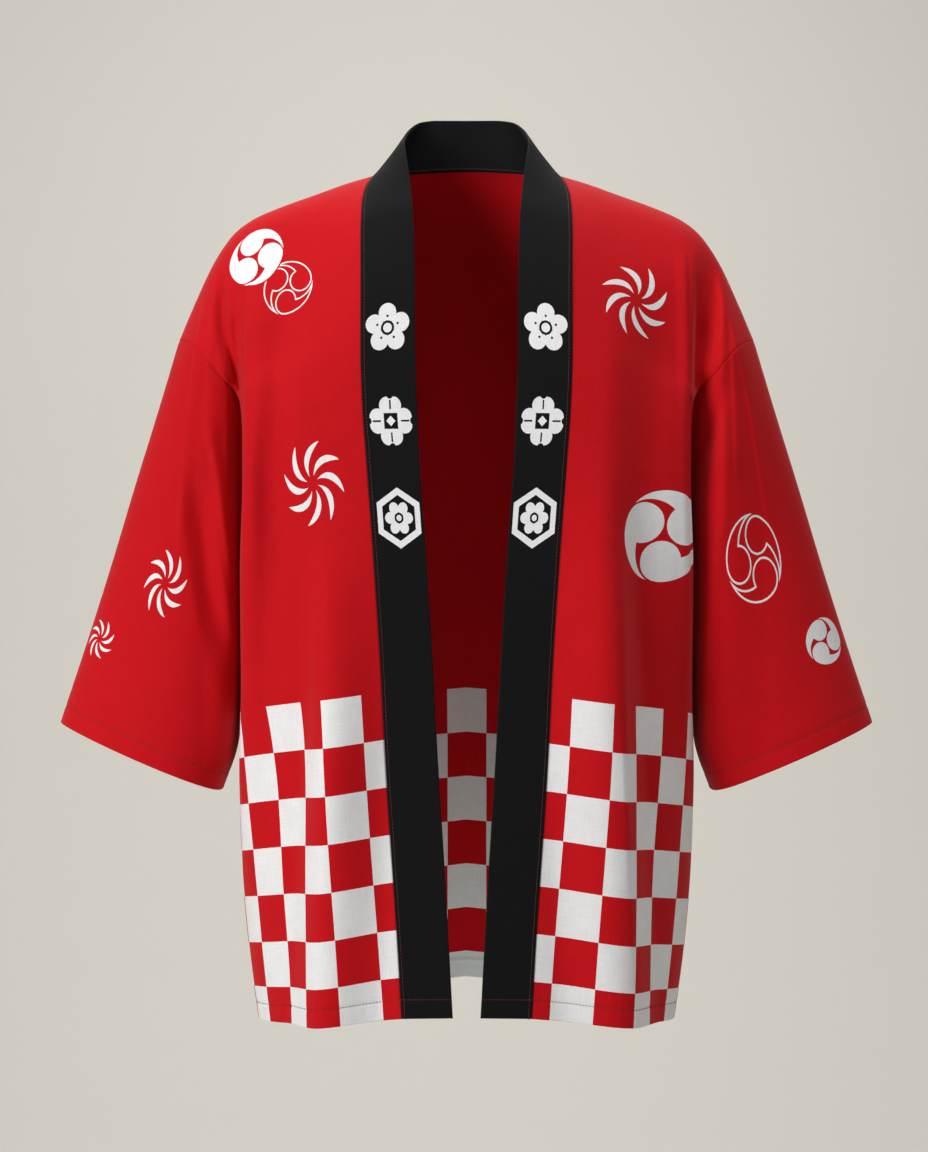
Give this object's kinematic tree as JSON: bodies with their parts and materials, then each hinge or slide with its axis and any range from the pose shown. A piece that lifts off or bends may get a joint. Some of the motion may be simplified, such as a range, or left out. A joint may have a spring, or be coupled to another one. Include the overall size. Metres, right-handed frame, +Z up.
{
  "type": "happi coat",
  "caption": "Straight open-fronted festival coat with wide sleeves and a contrasting band collar down both fronts, in its worn hollow shape.",
  "frame": {"origin": "between the wearer's shoulders, just under the level of the neck ends of the shoulder seams", "axes": "+Z up, -Y the way the coat faces, +X towards the wearer's left"},
  "size_m": [0.779, 0.3094, 0.8705],
  "materials": {
    "printed_cotton": "plain-woven cotton, printed white on red, soft matt sheen",
    "collar_cotton": "plain-woven black cotton, matt, printed in white"
  },
  "bodies": {
    "root": {"back": "printed_cotton", "front_right": "printed_cotton", "front_left": "printed_cotton", "sleeve_right": "printed_cotton", "sleeve_left": "printed_cotton", "collar": "collar_cotton"}
  },
  "joints": []
}
